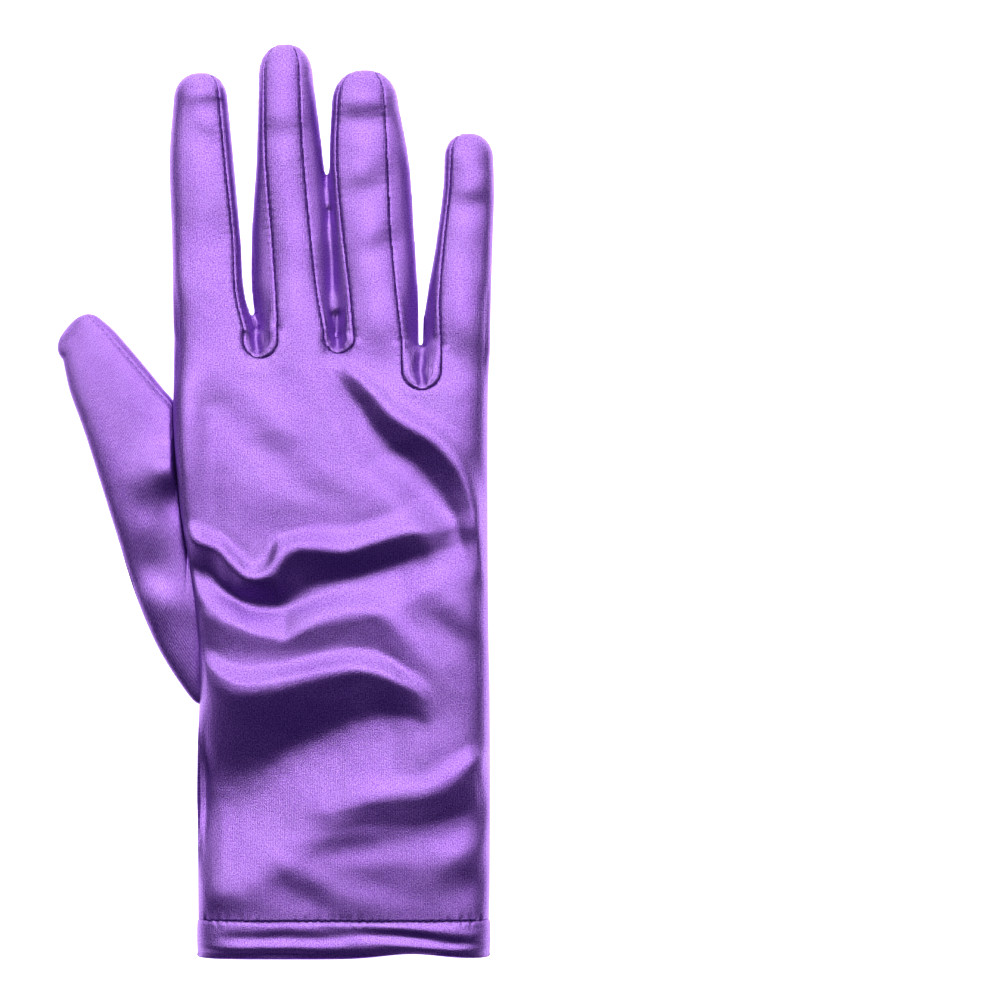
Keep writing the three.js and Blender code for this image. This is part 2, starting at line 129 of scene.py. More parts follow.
thumbShape = {
    "length": 73.7,
    "height": 7.6,
    "lift": 3.4,  # how far it props up the hand's edge
    "tip": 4.6,
    "seat": 0.585,  # along the hand
    "inlay": 1.7,  # in from the hand's edge
    "rows": 120,
    "tipRows": 16,
    "across": 121,
    "sideSquareness": 0.62,
    "soleSquareness": 0.45,
    "backSquareness": 0.55,
    "tipRounding": 0.8,
    # outerX, outerY, innerX, innerY, height, base
    "sections": [
        (0.01, -0.398, 0.01, 0.384, 0.62, 0.13),
        (-0.034, -0.367, -0.027, 0.48, 0.8, 0.05),
        (-0.137, -0.209, -0.055, 0.569, 0.95, 0),
        (-0.216, -0.027, -0.082, 0.638, 1, 0),
        (-0.281, 0.178, -0.13, 0.696, 1, 0),
        (-0.343, 0.377, -0.182, 0.761, 1, 0),
        (-0.398, 0.549, -0.237, 0.826, 0.98, 0),
        (-0.446, 0.682, -0.291, 0.888, 0.94, 0),
        (-0.47, 0.79, -0.345, 0.935, 0.86, 0),
    ],
}

# Folds of the back of the hand. Each crest is read in a frame turned by so many degrees, in
# which it runs more or less level. Spread evenly along it are the rise, the width of the side
# above it and of the side below it, how far the lower side falls under the level, as a share of
# the rise, and the width over which the cloth comes back to the level.
folds = {
    "knuckles": {
        "turn": 0,
        "crest": [
            (-36, 106), (-32.7, 104.6), (-28.4, 102.8), (-25.1, 99.6), (-20.8, 96), (-17.6, 95.8),
            (-14.5, 97.8), (-12.5, 101), (-9, 103.4), (-3.9, 103.4), (3.7, 102.8), (10.2, 104.6),
            (18.8, 107.1), (27.2, 107.9), (33, 108.6),
        ],
        "rise": [1.2, 1.5, 1.5, 1.5, 1.3, 0.4],
        "above": [6, 5, 6, 7, 7, 6],
        "below": [7, 8.5, 13, 9, 8.5, 5],
        "dip": [1.6, 1.9, 1.9, 1.6, 1.2, 0.4],
        "back": [8, 7, 8, 10, 11, 8],
    },
    "wrist": {
        "turn": 0,
        "crest": [
            (-36, 76), (-31.7, 73.3), (-27.5, 70.6), (-24.1, 69.2), (-15.8, 69.2), (-7.5, 70.8),
            (0.1, 72.5), (6.9, 73.3), (15.3, 70.8), (22.9, 66.4), (26, 62.5),
        ],
        "rise": [1.9, 2, 2, 1.9, 1.6, 0],
        "above": [6, 5.5, 5.5, 6, 6, 4],
        "below": [34, 29, 22, 17, 11, 4],
        "dip": [2.6, 2.4, 2, 1.5, 0.9, 0.2],
        "back": [26, 26, 26, 24, 20, 12],
    },
    "diagonal": {
        "turn": -52,
        "crest": [
            (1, 151.5), (3.7, 149.1), (6.4, 146.3), (10.2, 142.5), (14.5, 137.7), (18.8, 134.4),
            (24.6, 131.2), (28.9, 127.4), (33, 121.8), (35.3, 115.5), (36.8, 107.9), (38, 97.8),
        ],
        "rise": [0.2, 0.9, 1.2, 1.4, 1.3, 0.4],
        "above": [3, 5, 7, 7, 5, 3],
        "below": [3.5, 5.5, 9, 9, 6, 4],
        "dip": [1, 1.4, 1.6, 1.6, 1.4, 0.6],
        "back": [6, 8, 10, 10, 9, 8],
    },
    "cuff": {
        "turn": 8,
        "crest": [
            (-12, 35), (-6, 36.6), (0, 37.4), (8, 39.6), (16, 40.6), (24, 41.6), (30, 44.6), (36, 49.4),
        ],
        "rise": [0, 0.5, 0.75, 0.9, 1.15, 1.3],
        "above": [8, 9, 9, 8, 7, 6],
        "below": [5, 6, 7, 9, 11, 12],
        "dip": [0.2, 0.4, 0.5, 0.5, 0.6, 0.6],
        "back": [9, 9, 9, 9, 9, 8],
    },
    "heel": {
        "turn": 0,
        "crest": [
            (-31, 86), (-24.8, 84), (-15, 84.6), (-5.3, 86.3), (3.7, 88.1), (12.1, 86.9),
            (19.4, 80.4), (26, 73),
        ],
        "rise": [0.4, 0.6, 0.75, 0.8, 0.7, 0.1],
        "above": [4, 4, 5, 6, 6, 5],
        "below": [8, 9.5, 10.5, 11, 9, 6],
        "dip": [0.4, 0.5, 0.55, 0.6, 0.5, 0.2],
        "back": [4, 4, 4, 4, 4, 4],
    },
}

# Soft slopes, steepest at x, y: reach across and along, rise towards the fingertips, turn
slopes = [
    (-14, 130.5, 6, 4, 0.4, -38),
    (-27, 141, 7, 4, 0.3, -25),
    (-2, 119, 6, 3.5, 0.3, -20),
    (-4, 112, 12, 5, 0.35, -3),
    (-31, 117, 5, 8, 0.3, -30),
    (24, 101, 7, 3, 0.2, 10),
    (32, 84, 7, 3.5, 0.55, -35),
    (34, 22, 5, 4, 0.6, 25),
    (6, 30, 9, 3, 0.4, 8),
    (-8, 19, 7, 3, 0.35, -25),
    (8, 17, 8, 3, -0.2, -12),
    (-30, 13.5, 6, 2.5, 0.25, 0),
    (34, 64, 4, 8, 0.35, -70),
    (-31, 216.5, 6, 2.6, 0.5, 0),
    (-31, 209, 5, 3, 0.35, -35),
    (-29, 184, 5, 6, 0.2, 10),
    (-12.5, 210, 5, 3, 0.25, 0),
    (-6, 175, 4, 5, 0.25, -10),
    (8, 213.5, 7, 3, 0.42, 8),
    (11, 207, 5, 3, -0.3, -15),
    (8.5, 196, 4, 3, 0.4, 25),
    (12, 181, 3.5, 3, 0.5, 35),
    (13, 155.5, 7, 6, 0.5, -25),
    (37, 192, 4, 3, 0.5, 10),
    (35, 155, 6, 5, 0.5, 0),
    (33, 171, 4, 6, -0.25, -10),
    (-22, 150, 8, 6, 0.2, 0),
]

cloth = {
    "voxel": 0.7,
    "thickness": 0.45,
    "hem": 9.8,  # from the cuff's edge to the stitches
    "grooveDepth": 0.2,  # along a seam
    "grooveWidth": 0.3,
    "fineBeside": 1.4,  # faces this near to a seam are finer
    "fineAtWeb": 6,
    "softenings": 4,
    "rootSoftenings": 60,
    "wave": {"size": 14, "seed": 3.1, "onHand": 0.22, "onFingers": 0.4},
    "grain": {"size": 3.2, "depth": 0.05, "seed": 7.7, "thumbSeed": 1.3},
    "underThinning": 0.94,
}


def smooth(value, start, stop):
    t = np.clip((value - start) / (stop - start), 0, 1)
    return t * t * (3 - 2 * t)


def mix(a, b, t):
    return a + (b - a) * t


def bell(value, width):
    return np.exp(-((value / width) ** 2))


# How far along a line of points each of them is
def distances(line):
    return np.concatenate([[0], np.cumsum(np.linalg.norm(np.diff(line, axis=0), axis=1))])


def curveThrough(places, values):
    places, values = np.array(places, float), np.array(values, float)
    tangents = np.gradient(values, places, axis=0)

    def curve(at):
        at = np.clip(at, places[0], places[-1])
        i = np.clip(np.searchsorted(places, at, side="right") - 1, 0, len(places) - 2)
        span = places[i + 1] - places[i]
        t = (at - places[i]) / span
        first, last = 2 * t**3 - 3 * t**2 + 1, 3 * t**2 - 2 * t**3
        leaving, arriving = (t**3 - 2 * t**2 + t) * span, (t**3 - t**2) * span
        if values.ndim > 1:
            first, last, leaving, arriving = (k[..., None] for k in (first, last, leaving, arriving))
        through = first * values[i] + leaving * tangents[i]
        return through + last * values[i + 1] + arriving * tangents[i + 1]

    return curve


def columns(rows):
    table = np.array(rows, float)
    return [curveThrough(table[:, 0], table[:, i]) for i in range(1, table.shape[1])]


palmLeft, palmRight, palmSwell, edgeLift = columns(hand["sections"])


def liftAt(x, y):
    beyond = 1 - smooth(y, hand["length"], hand["length"] * 1.2)
    inward = 1 - smooth(x, hand["width"] * -0.48, hand["width"] * -0.36)
    return thumbShape["lift"] * edgeLift(np.minimum(y / hand["length"], 1)) * beyond * inward


def dropAt(x):
    start = hand["dropStart"]
    return hand["webDrop"] * (np.clip(x / hand["width"], start, 0.5) - start) / (0.5 - start)


def placedFinger(name):
    length, webDepth, rows = fingerShape[name]
    left, seamLeft, seamRight, right = (
        lambda at, c=c: (c(at) - 0.5) * hand["width"] for c in columns(rows)
    )
    web = hand["length"] - dropAt((left(0) + right(0)) / 2)
    return {
        "name": name, "length": length, "webDepth": webDepth,
        "left": left, "seamLeft": seamLeft, "seamRight": seamRight, "right": right,
        "web": float(web), "tipAt": rows[-1][0], "tipReach": length * (1 - rows[-1][0]),
    }


fingers = [placedFinger(name) for name in fingerNames]
pairs = list(zip(fingers[:-1], fingers[1:]))
webMiddles = [float(a["right"](0) + b["left"](0)) / 2 for a, b in pairs]


# The mesh that a bmesh holds, which is let go
def meshOf(work, name):
    made = bpy.data.meshes.new(name)
    work.to_mesh(made)
    work.free()
    return made


# A sheet of rows and columns of points as a mesh, with its own length along both as a UV map
def sheetMesh(name, points):
    rows, across = points.shape[0] - 1, points.shape[1] - 1
    mesh = bmesh.new()
    bmesh.ops.create_grid(mesh, x_segments=across, y_segments=rows, size=1)
    mesh.verts.index_update()
    spots = np.array([vert.co[:2] for vert in mesh.verts])
    i = np.rint((spots[:, 0] + 1) / 2 * across).astype(int)
    j = np.rint((spots[:, 1] + 1) / 2 * rows).astype(int)
    alongU = np.zeros(points.shape[:2])
    alongU[:, 1:] = np.cumsum(np.linalg.norm(np.diff(points, axis=1), axis=2), axis=1)
    alongU = np.median(alongU, axis=0)
    alongV = np.zeros(rows + 1)
    middle = points[:, : across // 2].mean(axis=1)
    alongV[1:] = np.cumsum(np.linalg.norm(np.diff(middle, axis=0), axis=1))
    uvLayer = mesh.loops.layers.uv.new("cloth")
    for face in mesh.faces:
        for loop in face.loops:
            index = loop.vert.index
            loop[uvLayer].uv = (alongU[i[index]], alongV[j[index]])
    for vert, place in zip(mesh.verts, points[j, i]):
        vert.co = place
    bmesh.ops.remove_doubles(mesh, verts=mesh.verts, dist=0.001)
    bmesh.ops.dissolve_degenerate(mesh, edges=mesh.edges, dist=0.0005)
    bmesh.ops.recalc_face_normals(mesh, faces=mesh.faces)
    return meshOf(mesh, name)


def newObject(name, mesh):
    made = bpy.data.objects.new(name, mesh)
    bpy.context.scene.collection.objects.link(made)
    return made


# The object's mesh with its modifiers worked in
def workIn(piece):
    bpy.context.view_layer.update()
    graph = bpy.context.evaluated_depsgraph_get()
    shaped = bpy.data.meshes.new_from_object(piece.evaluated_get(graph))
    piece.modifiers.clear()
    piece.data = shaped
    return piece


def coordinates(mesh):
    co = np.empty(len(mesh.vertices) * 3)
    mesh.vertices.foreach_get("co", co)
    return co.reshape(-1, 3)


def normals(mesh):
    values = np.empty(len(mesh.vertices) * 3)
    mesh.vertices.foreach_get("normal", values)
    return values.reshape(-1, 3)


def setCoordinates(mesh, co):
    mesh.vertices.foreach_set("co", co.ravel())
    mesh.update()


def relaxed(mesh, co, times, amount=0.5):
    ends = np.empty(len(mesh.edges) * 2, int)
    mesh.edges.foreach_get("vertices", ends)
    a, b = ends.reshape(-1, 2).T
    count = np.bincount(np.concatenate([a, b]), minlength=len(co))[:, None]
    for _ in range(times):
        total = np.zeros_like(co)
        for axis in range(3):
            total[:, axis] = np.bincount(a, co[b, axis], len(co))
            total[:, axis] += np.bincount(b, co[a, axis], len(co))
        co = mix(co, total / np.maximum(count, 1), amount)
    return co


# Points of the hand's section, once round from the thumb's side along the sole and back
def handRing(turn, y, inset=0.0):
    at = y / hand["length"]
    half = np.where(turn < 0.5, turn * 2, 2 - turn * 2)
    place = mix(2 * half - 1, -np.cos(np.pi * half), hand["crowding"])
    left = palmLeft(at) * hand["width"] + inset
    right = palmRight(at) * hand["width"] - inset
    x = mix(left, right, (place + 1) / 2)
    isBack = turn >= 0.5
    nearWeb, atWeb = smooth(at, 0.75, 1), smooth(at, 0.93, 1)
    top = mix(hand["cuffHeight"], hand["height"], smooth(at, 0, 0.3)) * palmSwell(at) - inset
    for web in webMiddles:
        top = top - hand["webDip"] * np.exp(-(((x - web) / hand["webDipWidth"]) ** 2)) * atWeb
    back, sole = (mix(*hand[key], nearWeb) for key in ("backSquareness", "soleSquareness"))
    bulge = np.sqrt(np.clip(1 - np.abs(place) ** np.where(isBack, back, sole), 0, 1))
    z = mix(hand["edgeHeight"], np.where(isBack, top, inset), bulge) + liftAt(x, y)
    return np.stack([x, y - dropAt(x) * np.clip(at, 0, 1) ** 6, z], axis=-1)


def palmPoints():
    turns = np.linspace(0, 1, hand["across"])
    rows = np.linspace(-hand["pastMouth"], hand["length"], hand["rows"])
    grid = np.array([handRing(turns, np.full_like(turns, y)) for y in rows])
    start, end = (np.repeat(grid[k].mean(axis=0)[None, None], hand["across"], 1) for k in (0, -1))
    return np.concatenate([start, grid, end])


# One section of a finger, on a smooth loop through the corners of its sole, sides and back
def fingerRing(finger, at, count):
    left, right = float(finger["left"](at)), float(finger["right"](at))
    seamLeft, seamRight = float(finger["seamLeft"](at)), float(finger["seamRight"](at))
    height, corner = fingerShape["height"], fingerShape["corner"]
    shoulder = height * fingerShape["shoulder"]
    bulge = fingerShape["bulge"]

    def turn(edge, outward, degrees):
        angle = math.radians(degrees)
        return (edge - outward * corner * (1 - math.sin(angle)), corner * (1 - math.cos(angle)))

    middle = mix(corner, shoulder, 0.62) + bulge
    back = [
        (mix(seamRight, seamLeft, s), shoulder + (height - shoulder) * (1 - (2 * s - 1) ** 2))
        for s in (0, 0.25, 0.5, 0.75, 1)
    ]
    loop = np.array([
        turn(left, -1, 0), (mix(left, right, 0.5), 0), turn(right, 1, 0), turn(right, 1, 45),
        turn(right, 1, 90), ((right + seamRight) / 2 + bulge, middle), *back,
        ((left + seamLeft) / 2 - bulge, middle), turn(left, -1, 90), turn(left, -1, 45),
    ])
    steps = np.linalg.norm(np.roll(loop, -1, axis=0) - loop, axis=1)
    wrapped = np.concatenate([loop[-3:], loop, loop[:4]])
    places = distances(wrapped)
    return curveThrough(places, wrapped)(places[3] + np.linspace(0, steps.sum(), count))


def fingerPoints(finger):
    count, web = fingerShape["across"], finger["web"]
    axisHeight = fingerShape["height"] * fingerShape["axis"]
    rows = []

    def addRow(ring, y, scale):
        middle = np.array([(ring[:, 0].min() + ring[:, 0].max()) / 2, axisHeight])
        tall = mix(*fingerShape["tallness"], smooth(y, web, web + fingerShape["tallReach"]))
        flat = mix(middle, ring, scale) * [1, tall]
        ys = np.full(count, y)
        rows.append(np.stack([flat[:, 0], ys, flat[:, 1] + liftAt(flat[:, 0], ys)], axis=-1))

    root = fingerRing(finger, 0, count)
    for scale in (0, fingerShape["rootScale"]):
        addRow(root, web - fingerShape["rootDepth"], scale)
    for at in np.linspace(0, finger["tipAt"], fingerShape["rows"]):
        addRow(fingerRing(finger, at, count), web + finger["length"] * at, 1)
    tip = fingerRing(finger, finger["tipAt"], count)
    for degrees in np.linspace(6, 90, fingerShape["tipRows"]):
        angle = math.radians(degrees)
        y = web + finger["length"] * finger["tipAt"] + finger["tipReach"] * math.sin(angle)
        addRow(tip, y, max(math.cos(angle), 0) ** fingerShape["tipRounding"])
    return np.array(rows)


# Outline of the space between two fingers, bounded by their upper seams and round below
def slotOutline(a, b):
    roll = fingerShape["seamRoll"]

    def seam(finger, name, outward):
        at = np.linspace(0, finger["tipAt"], 60)
        x, y = finger[name](at) - outward * roll, finger["web"] + finger["length"] * at
        line = np.stack([x, y], axis=-1)
        middle = (finger["left"](finger["tipAt"]) + finger["right"](finger["tipAt"])) / 2
        angles = np.radians(np.linspace(5, 60, 10))
        tip = np.stack([
            middle + (line[-1, 0] - middle) * np.cos(angles) ** fingerShape["tipRounding"],
            line[-1, 1] + finger["tipReach"] * np.sin(angles),
        ], axis=-1)
        away = tip[-1] + np.array([0, finger["tipReach"]])
        return np.concatenate([line, tip, away[None]])

    left = seam(a, "seamRight", 1)
    right = seam(b, "seamLeft", -1)
    start, stop = left[0, 0], right[0, 0]
    centre, radius = (start + stop) / 2, (stop - start) / 2
    turnY = hand["length"] - dropAt(centre) - a["webDepth"] + radius
    angles = np.linspace(np.pi, 2 * np.pi, 40)
    bottom = np.stack([centre + radius * np.cos(angles), turnY + radius * np.sin(angles)], axis=-1)
    left, right = left[left[:, 1] > turnY + 0.5], right[right[:, 1] > turnY + 0.5]
    return np.concatenate([left[::-1], bottom, right])


def isInside(outline, x, y):
    inside = np.zeros(len(x), bool)
    for (x0, y0), (x1, y1) in zip(outline, np.roll(outline, -1, axis=0)):
        if y0 == y1:
            continue
        crosses = (y0 > y) != (y1 > y)
        inside ^= crosses & (x < (x1 - x0) * (y - y0) / (y1 - y0) + x0)
    return inside


# Distance from points to an open line, the nearest place on it, and its share of the line
def nearest(line, x, y):
    best = np.full(len(x), 1e9)
    spot = np.zeros((len(x), 2))
    share = np.zeros(len(x))
    before = distances(line)
    lengths = np.diff(before)
    for k, (start, stop) in enumerate(zip(line[:-1], line[1:])):
        step = stop - start
        t = np.clip(((x - start[0]) * step[0] + (y - start[1]) * step[1]) / (step @ step), 0, 1)
        px, py = start[0] + t * step[0], start[1] + t * step[1]
        gap = np.hypot(x - px, y - py)
        closer = gap < best
        best = np.where(closer, gap, best)
        spot[closer] = np.stack([px, py], axis=-1)[closer]
        share = np.where(closer, (before[k] + t * lengths[k]) / before[-1], share)
    return best, spot, share


# Share of a long slope that is behind a point t of the way down it
def slopeTable(ease, fade):
    places = np.linspace(0, 1, 201)
    steep = smooth(places, 0, ease) * (1 - smooth(places, 1 - fade, 1))
    fallen = np.concatenate([[0], np.cumsum((steep[1:] + steep[:-1]) / 2)])
    return places, fallen / fallen[-1]


slopeDown = slopeTable(0.14, 0.34)
slopeUp = slopeTable(0.35, 0.7)
foldSpread = {
    "evenOver": (-8, -5, -2.5, 0, 2.5, 5, 8),  # away from a crest its bends are evened out
    "evenFrom": 1,
    "evenTo": 12,
    "pastEnd": 5,
}


# The folds' height above the level at points x, y, as one profile below another along each crest
def foldRelief(x, y):
    total = np.zeros(len(x))
    for fold in folds.values():
        angle = math.radians(fold["turn"])
        ahead = np.array([math.cos(angle), math.sin(angle)])
        upwards = np.array([-math.sin(angle), math.cos(angle)])
        points = np.array(fold["crest"], float)
        steps = distances(points)
        along, level = points @ ahead, points @ upwards
        u, v = x * ahead[0] + y * ahead[1], x * upwards[0] + y * upwards[1]
        crest = curveThrough(along, level)
        even = np.mean([crest(u + reach) for reach in foldSpread["evenOver"]], axis=0)
        tilt = crest(u + 0.5) - crest(u - 0.5)
        away = smooth(np.abs(v - even), foldSpread["evenFrom"], foldSpread["evenTo"])
        gap = (v - mix(crest(u), even, away)) / mix(np.sqrt(1 + tilt**2), 1, away)
        share = np.interp(u, along, steps / steps[-1])
        stops = np.linspace(0, 1, len(fold["rise"]))
        rise, above, below, dip, back = (
            np.interp(share, stops, fold[key]) for key in ("rise", "above", "below", "dip", "back")
        )
        up = 1 - np.interp(gap / above, *slopeUp)
        down = 1 - (1 + dip) * np.interp(-gap / below, *slopeDown)
        again = -dip * (1 - smooth((-gap - below) / back, 0, 1))
        lower = np.where(-gap < below, down, again)
        past = np.maximum(np.maximum(along[0] - u, u - along[-1]), 0)
        total += rise * np.where(gap > 0, up, lower) * bell(past, foldSpread["pastEnd"])
    return total


slopeStrength = 1.2


def slopesAt(patches, x, y):
    total = np.zeros(len(x))
    for midX, midY, across, along, rise, degrees in patches:
        angle = math.radians(degrees)
        dx, dy = x - midX, y - midY
        u = dx * math.cos(angle) + dy * math.sin(angle)
        v = -dx * math.sin(angle) + dy * math.cos(angle)
        fade = np.exp(-0.5 * ((u / across) ** 2 + (v / along) ** 2))
        total += rise * (v / along) * fade * slopeStrength
    return total


nips = {"pitch": 2.3, "depth": 0.22, "width": 1.1, "unevenness": 0.8}


# The cloth is nipped together by every few stitches of the hem, unevenly
def nipsAt(co):
    x = co[:, 0]
    pitch = np.sin(x * 2 * np.pi / nips["pitch"] + 1.4 * np.sin(x / 3.7) + np.sin(x / 1.9))
    depth = nips["depth"] * (1 + nips["unevenness"] * np.sin(x / 5.3 + 1))
    return -depth * np.maximum(pitch, 0) ** 2 * bell(co[:, 1] - cloth["hem"], nips["width"])


def noiseAt(co, size, seed):
    return np.array([
        noise.noise(Vector((p[0] / size + seed, p[1] / size, p[2] / size))) for p in co
    ])


slotLines = [slotOutline(a, b) for a, b in pairs]
webBottoms = [
    (web, hand["length"] - float(dropAt(web)) - a["webDepth"])
    for (a, _), web in zip(pairs, webMiddles)
]
print("shaping the hand")

handMesh = bmesh.new()
for name, points in [("palm", palmPoints()), *[(f["name"], fingerPoints(f)) for f in fingers]]:
    handMesh.from_mesh(sheetMesh(name, points))
body = newObject("hand", meshOf(handMesh, "hand"))
remesh = body.modifiers.new("one skin", "REMESH")
remesh.mode, remesh.voxel_size = "VOXEL", cloth["voxel"]
workIn(body)
skin = body.data
print("skin has", len(skin.polygons), "faces")

# finer faces beside the seams
work = bmesh.new()
work.from_mesh(skin)
spots = coordinates(skin)
gaps = np.min([nearest(line, spots[:, 0], spots[:, 1])[0] for line in slotLines], axis=0)
atWebs = np.any([
    np.hypot(spots[:, 0] - x, spots[:, 1] - y) < cloth["fineAtWeb"] for x, y in webBottoms
], axis=0)
fine = ((gaps < cloth["fineBeside"]) | atWebs) & (spots[:, 2] > fingerShape["sideSeam"] + 1)
work.verts.ensure_lookup_table()
edges = [edge for edge in work.edges if fine[edge.verts[0].index] and fine[edge.verts[1].index]]
bmesh.ops.subdivide_edges(work, edges=edges, cuts=1, use_grid_fill=True)
work.to_mesh(skin)
work.free()
print("with fine seams it has", len(skin.polygons))

co = relaxed(skin, coordinates(skin), cloth["softenings"])
# the fingers' backs run on into the hand's without a step
atRoots = smooth(co[:, 1], 143, 150) * (1 - smooth(co[:, 1], 163, 172))
facing = normals(skin)
gaps = np.min([nearest(line, co[:, 0], co[:, 1])[0] for line in slotLines], axis=0)
blending = (atRoots * smooth(facing[:, 2], 0.3, 0.7) * smooth(gaps, 0.3, 2.5))[:, None]
co = mix(co, relaxed(skin, co, cloth["rootSoftenings"]), blending)
setCoordinates(skin, co)
facing = normals(skin)
isTop = smooth(facing[:, 2], 0.02, 0.55)

# the folds and soft slopes of the back
handed = smooth(co[:, 1], 10, 22) * (1 - smooth(co[:, 1], 146, 156))
relief = foldRelief(co[:, 0], co[:, 1]) * handed + slopesAt(slopes, co[:, 0], co[:, 1])
wave, grain = cloth["wave"], cloth["grain"]
waveDepth = mix(wave["onHand"], wave["onFingers"], smooth(co[:, 1], 150, 165))
relief += nipsAt(co) + waveDepth * noiseAt(co, wave["size"], wave["seed"])
relief += grain["depth"] * noiseAt(co, grain["size"], grain["seed"])
at = co[:, 1] / hand["length"]
leftEdge, rightEdge = palmLeft(at) * hand["width"], palmRight(at) * hand["width"]
fromEdge = np.minimum(co[:, 0] - leftEdge, rightEdge - co[:, 0])
co[:, 2] += relief * isTop * np.where(at < 1, mix(0.5, 1, smooth(fromEdge, 0, 2.5)), 1)

besideSeam = {
    "pull": 0.28,  # points within this share of a voxel are drawn onto the seam
    "pucker": 0.03,
    "puckerPitch": 2.1,
    "puckerAt": 1.1,
    "puckerWidth": 1,
    "ridge": 0.02,
    "ridgeAt": 1.4,
    "ridgeWidth": 0.7,
}

# the seams of the fingers sink in, and the cloth puckers beside them
seamGap = np.full(len(co), 99.0)
seamPlace = np.zeros(len(co))
for line in slotLines:
    gap, spot, share = nearest(line, co[:, 0], co[:, 1])
    closer = gap < seamGap
    seamGap = np.where(closer, gap, seamGap)
    seamPlace = np.where(closer, share * distances(line)[-1], seamPlace)
    isEdge = (gap < cloth["voxel"] * besideSeam["pull"]) & (co[:, 2] > fingerShape["sideSeam"] + 1.2)
    co[isEdge, :2] = spot[isEdge]
push = -cloth["grooveDepth"] * bell(seamGap, cloth["grooveWidth"])
push += (besideSeam["pucker"] * np.sin(seamPlace * 2 * np.pi / besideSeam["puckerPitch"])
         * bell(seamGap - besideSeam["puckerAt"], besideSeam["puckerWidth"]))
push += besideSeam["ridge"] * bell(seamGap - besideSeam["ridgeAt"], besideSeam["ridgeWidth"])
co += facing * (push * (facing[:, 2] > -0.2))[:, None]

webCrease = {
    "line": [(0.3, 10), (-0.2, 5), (0.4, 2)],  # from the web's bottom
    "depth": 1.3,
    "width": 1.1,
    "fadeFrom": 7,
    "fadeTo": 13,
    "wrinkle": 0.06,
    "wrinklePitch": 1.15,
    "lip": 0.35,
    "lipAt": 1.6,
    "lipWidth": 1.1,
}

# at the bottom of a web the two side strips meet in a crease, with fine wrinkles beside it
for line, bottom in zip(slotLines, webBottoms):
    inside = isInside(line, co[:, 0], co[:, 1]) & (co[:, 2] > fingerShape["sideSeam"])
    gap = nearest(line, co[:, 0], co[:, 1])[0]
    toCrease = nearest(np.array(webCrease["line"]) + bottom, co[:, 0], co[:, 1])[0]
    low = 1 - smooth(co[:, 1] - bottom[1], webCrease["fadeFrom"], webCrease["fadeTo"])
    wrinkles = np.cos(gap * 2 * np.pi / webCrease["wrinklePitch"]) * smooth(gap, 0.4, 1.2)
    fold = webCrease["lip"] * bell(gap - webCrease["lipAt"], webCrease["lipWidth"])
    fold -= webCrease["depth"] * bell(toCrease, webCrease["width"])
    fold -= webCrease["wrinkle"] * wrinkles
    co[:, 2] += inside * fold * low * smooth(facing[:, 2], 0, 0.4)

# it lies on the table
co[:, 2] = np.maximum(co[:, 2], 0.0)
setCoordinates(skin, co)
print("hand is dressed")

thumbRoot = np.array([
    float(palmLeft(thumbShape["seat"])) * hand["width"] + thumbShape["inlay"],
    thumbShape["seat"] * hand["length"],
])


# A copy of a mesh with only the faces for which keep is true
def kept(name, mesh, keep):
    work = bmesh.new()
    work.from_mesh(mesh)
    work.faces.ensure_lookup_table()
    drop = [face for face, stays in zip(work.faces, keep) if not stays]
    bmesh.ops.delete(work, geom=drop, context="FACES")
    return meshOf(work, name)


def faceMiddles(mesh):
    middles = np.empty(len(mesh.polygons) * 3)
    mesh.polygons.foreach_get("center", middles)
    return middles.reshape(-1, 3)


# A UV map with a place on the cloth for each vertex
def setCloth(mesh, u, v):
    layer = mesh.uv_layers.new(name="cloth")
    corners = np.empty(len(mesh.loops), int)
    mesh.loops.foreach_get("vertex_index", corners)
    layer.data.foreach_set("uv", np.stack([u[corners], v[corners]], axis=-1).ravel())


# Wales run along a side strip and round the web: u is the distance from its seam
def unrollStrip(mesh, line):
    co = coordinates(mesh)
    gap, _, share = nearest(line, co[:, 0], co[:, 1])
    down = np.maximum(fingerShape["height"] * fingerShape["shoulder"] - co[:, 2], 0)
    setCloth(mesh, gap + down, share * distances(line)[-1])


# Wales run along the hand: u is unrolled over the sides from this height, v is along the hand
sideTop = 6.5


def unroll(mesh):
    co = coordinates(mesh)
    middle = np.full(len(co), 1.5)
    for finger in fingers:
        y = (co[:, 1] - finger["web"]) / finger["length"]
        left, right = finger["left"](y), finger["right"](y)
        isFinger = (y > 0) & (co[:, 0] > left - 1) & (co[:, 0] < right + 1)
        middle = np.where(isFinger, (left + right) / 2, middle)
    below = np.maximum(sideTop + liftAt(co[:, 0], co[:, 1]) - co[:, 2], 0)
    setCloth(mesh, co[:, 0] + np.sign(co[:, 0] - middle) * below, co[:, 1])


# A socket that can be added to, taken from and multiplied
class Wire:
    def __init__(self, finish, socket):
        self.finish, self.socket = finish, socket

    def maths(self, operation, *others):
        return self.finish.node("Math", {"operation": operation}, dict(enumerate([self, *others])))[0]

    def __add__(self, other):
        return self.maths("ADD", other)

    __radd__ = __add__

    def __sub__(self, other):
        return self.maths("SUBTRACT", other)

    def __rsub__(self, other):
        return self.finish.node("Math", {"operation": "SUBTRACT"}, {0: other, 1: self})[0]

    def __mul__(self, other):
        return self.maths("MULTIPLY", other)

    __rmul__ = __mul__


class Finish:
    def __init__(self, name):
        self.material = bpy.data.materials.new(name)
        self.material.use_nodes = True
        self.tree = self.material.node_tree
        self.tree.nodes.clear()

    def node(self, kind, settings=None, values=None):
        made = self.tree.nodes.new("ShaderNode" + kind)
        for key, value in (settings or {}).items():
            setattr(made, key, value)
        for key, value in (values or {}).items():
            if isinstance(value, Wire):
                self.tree.links.new(value.socket, made.inputs[key])
            else:
                made.inputs[key].default_value = value
        return [Wire(self, socket) for socket in made.outputs]


